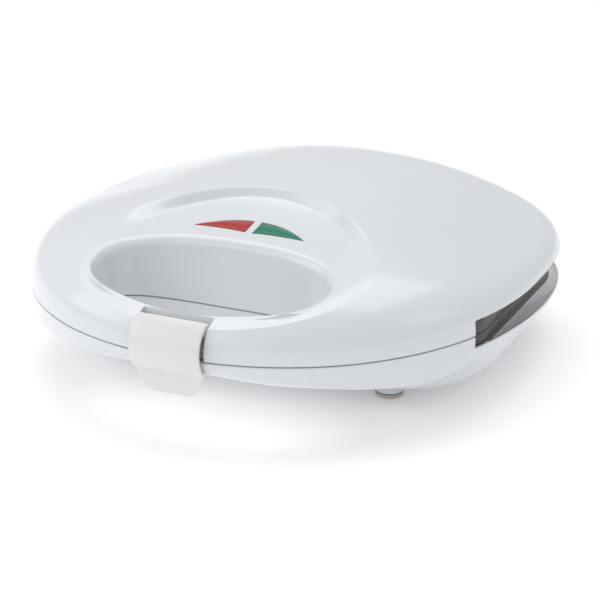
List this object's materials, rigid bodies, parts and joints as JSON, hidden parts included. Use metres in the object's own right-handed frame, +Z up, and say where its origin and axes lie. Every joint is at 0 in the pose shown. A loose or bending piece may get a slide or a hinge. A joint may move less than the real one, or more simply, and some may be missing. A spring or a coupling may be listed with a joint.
{
  "type": "donut maker",
  "caption": "Domed white electric donut maker: hinged lid over a base, each with a ring-mould plate and hand opening, held shut by a front clip latch; feet below.",
  "frame": {"origin": "middle of the footprint, on the worktop under the feet", "axes": "+Z up, front with the grip and latch towards -Y, the user's right is +X"},
  "size_m": [0.2472, 0.2612, 0.0831],
  "materials": {
    "shell": "glossy cool white moulding",
    "grip_cover": "semi-gloss cool white moulding",
    "latch": "semi-gloss slightly warm white",
    "red_lens": "clear red lens",
    "green_lens": "clear green lens",
    "cooking_plate": "semi-matte dark non-stick coating",
    "heater_tube": "dull steel sheath",
    "heat_shield": "bright rolled sheet",
    "screw": "zinc plated",
    "pin": "polished steel",
    "wire_sleeve": "woven glass-fibre sleeving",
    "hinge": "semi-gloss cool white moulding",
    "foot": "warm beige rubber",
    "lamp_glass": "clear neon bulb",
    "insulator": "natural heat-resistant moulding",
    "gland": "grey strain bush",
    "thermostat": "pressed steel cap",
    "fuse": "plain metal can"
  },
  "bodies": {
    "base": {"base_cover_screw_1": "screw", "base_cover_screw_2": "screw", "base_cover_screw_3": "screw", "base_cover_screw_4": "screw", "base_handle_cover": "grip_cover", "base_screw_1": "screw", "base_screw_2": "screw", "base_screw_3": "screw", "base_screw_4": "screw", "base_shell": "shell", "cord_clamp": "insulator", "cord_gland": "gland", "foot_front_left": "foot", "foot_front_right": "foot", "foot_rear_left": "foot", "foot_rear_right": "foot", "hinge_bracket_left": "hinge", "hinge_bracket_right": "hinge", "hinge_pin_left": "pin", "hinge_pin_right": "pin", "hinge_wire_sleeve": "wire_sleeve", "lower_heater": "heater_tube", "lower_plate": "cooking_plate", "lower_plate_screw_1": "screw", "lower_plate_screw_2": "screw", "lower_plate_screw_3": "screw", "lower_plate_screw_4": "screw", "lower_reflector": "heat_shield", "terminal_block": "insulator", "wire_tunnel": "hinge"},
    "lid": {"green_lens": "green_lens", "hinge_arm_left": "hinge", "hinge_arm_right": "hinge", "lamp_holder": "insulator", "latch_pin": "pin", "lid_cover_screw_1": "screw", "lid_cover_screw_2": "screw", "lid_cover_screw_3": "screw", "lid_cover_screw_4": "screw", "lid_handle_cover": "grip_cover", "lid_shell": "shell", "power_lamp": "lamp_glass", "ready_lamp": "lamp_glass", "red_lens": "red_lens", "thermal_fuse": "fuse", "thermostat": "thermostat", "upper_heater": "heater_tube", "upper_plate": "cooking_plate", "upper_plate_screw_1": "screw", "upper_plate_screw_2": "screw", "upper_plate_screw_3": "screw", "upper_plate_screw_4": "screw", "upper_reflector": "heat_shield"},
    "latch": {"latch": "latch"}
  },
  "joints": [
    {"name": "lid_hinge", "type": "hinge", "parent": "base", "child": "lid", "pos_m": [0, 0.1262, 0.04], "axis": [-1, 0, 0], "range_deg": [0, 105]},
    {"name": "latch_pivot", "type": "hinge", "parent": "lid", "child": "latch", "pos_m": [0, -0.1202, 0.0523], "axis": [-1, 0, 0], "range_deg": [0, 60]}
  ]
}
